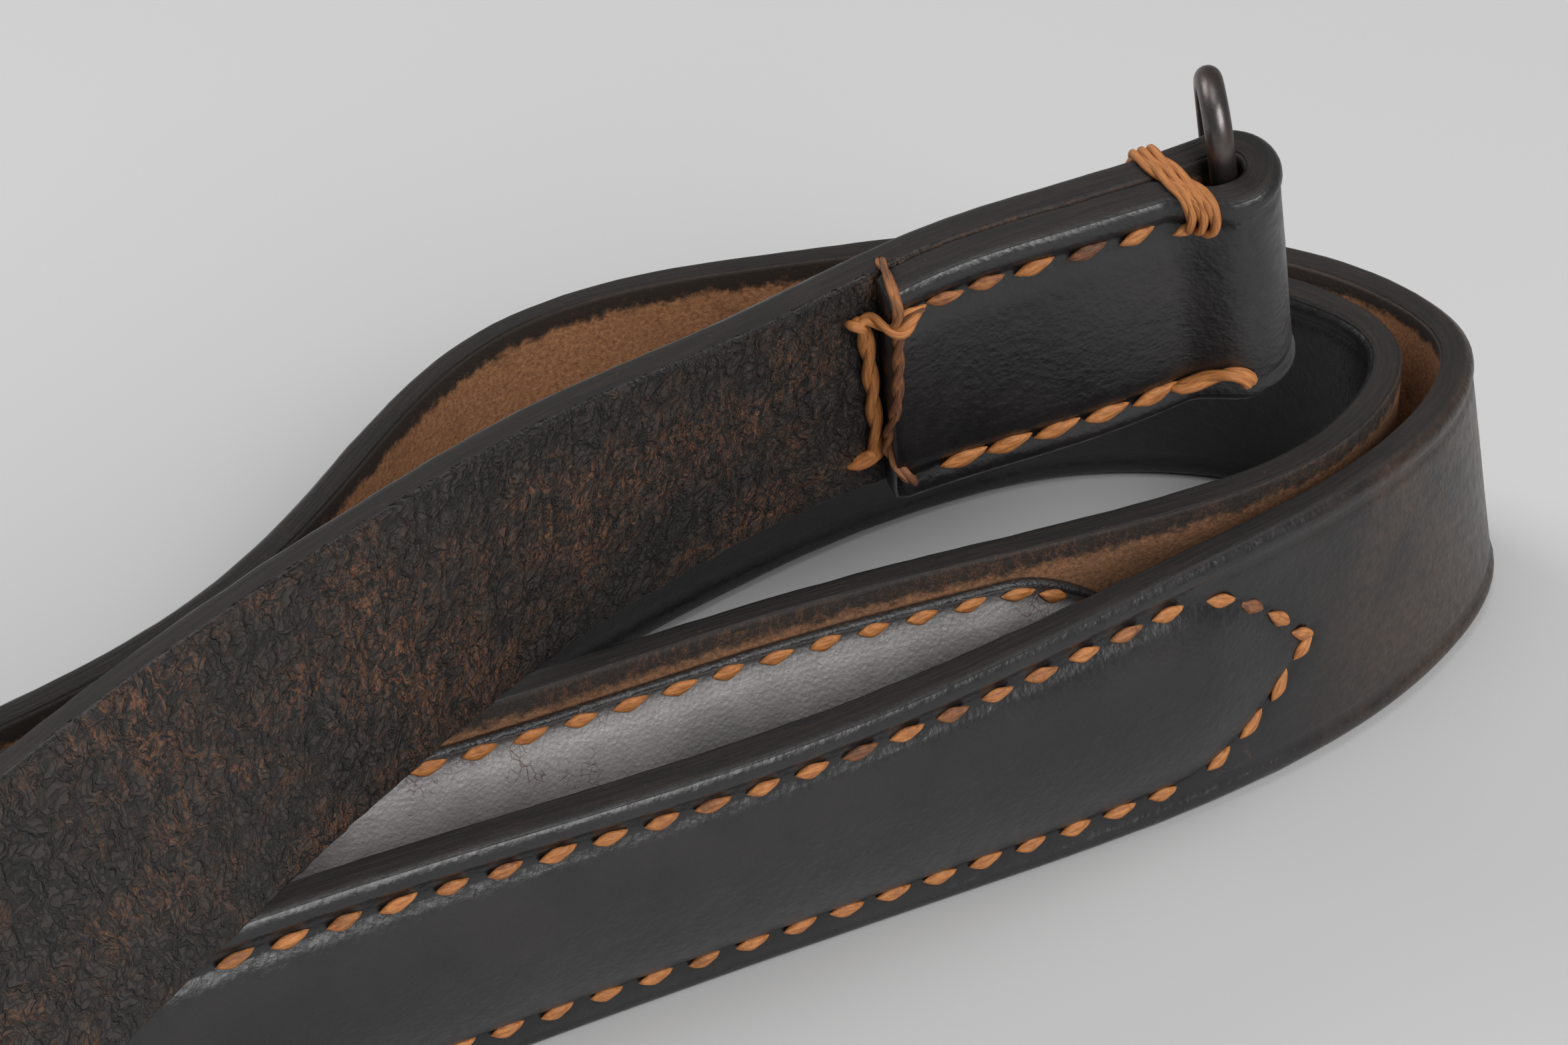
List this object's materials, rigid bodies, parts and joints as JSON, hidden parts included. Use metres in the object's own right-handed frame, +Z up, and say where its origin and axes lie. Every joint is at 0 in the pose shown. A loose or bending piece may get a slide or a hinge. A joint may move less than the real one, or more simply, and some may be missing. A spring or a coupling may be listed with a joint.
{
  "type": "guitar strap",
  "caption": "Narrow leather guitar strap, coiled on its edge, with a sewn-on padded middle and a wire ring in a folded, stitched eye at each end.",
  "frame": {"origin": "on the surface it rests on, under the middle of the coil's box", "axes": "+Z up across the strap's width, +X along the coil towards the end with the raised ring, +Y away from the front"},
  "size_m": [0.2405, 0.0854, 0.0645],
  "materials": {
    "strap_leather": "dark dyed harness leather, waxed grain side and raw brown flesh side",
    "lining_leather": "soft grey-black lining leather with a dull sheen and fine cracks",
    "filler_felt": "pressed felt",
    "thread": "waxed orange linen thread",
    "ring_wire": "blued steel, worn"
  },
  "bodies": {
    "strap": {"strap": "strap_leather", "pad_lining": "lining_leather", "pad_filler": "filler_felt", "pad_stitching_upper": "thread", "pad_stitching_lower": "thread", "pad_stitching_first_point": "thread", "pad_stitching_last_point": "thread", "end_a_stitching_upper": "thread", "end_a_stitching_lower": "thread", "end_a_cross_bar": "thread", "end_a_edge_wrap": "thread", "end_b_stitching_upper": "thread", "end_b_stitching_lower": "thread", "end_b_cross_bar": "thread", "end_b_edge_wrap": "thread"},
    "ring_a": {"ring_a": "ring_wire"},
    "ring_b": {"ring_b": "ring_wire"}
  },
  "joints": [
    {"name": "ring_a_swivel", "type": "hinge", "parent": "strap", "child": "ring_a", "pos_m": [0.08444, -0.00529, 0.04581], "axis": [-0.2657, -0.1962, 0.9439], "range_deg": [-165, 33]},
    {"name": "ring_b_swivel", "type": "hinge", "parent": "strap", "child": "ring_b", "pos_m": [-0.11498, 0.00615, 0.01729], "axis": [0.0828, 0.0044, 0.9966], "range_deg": [-8, 190]}
  ]
}
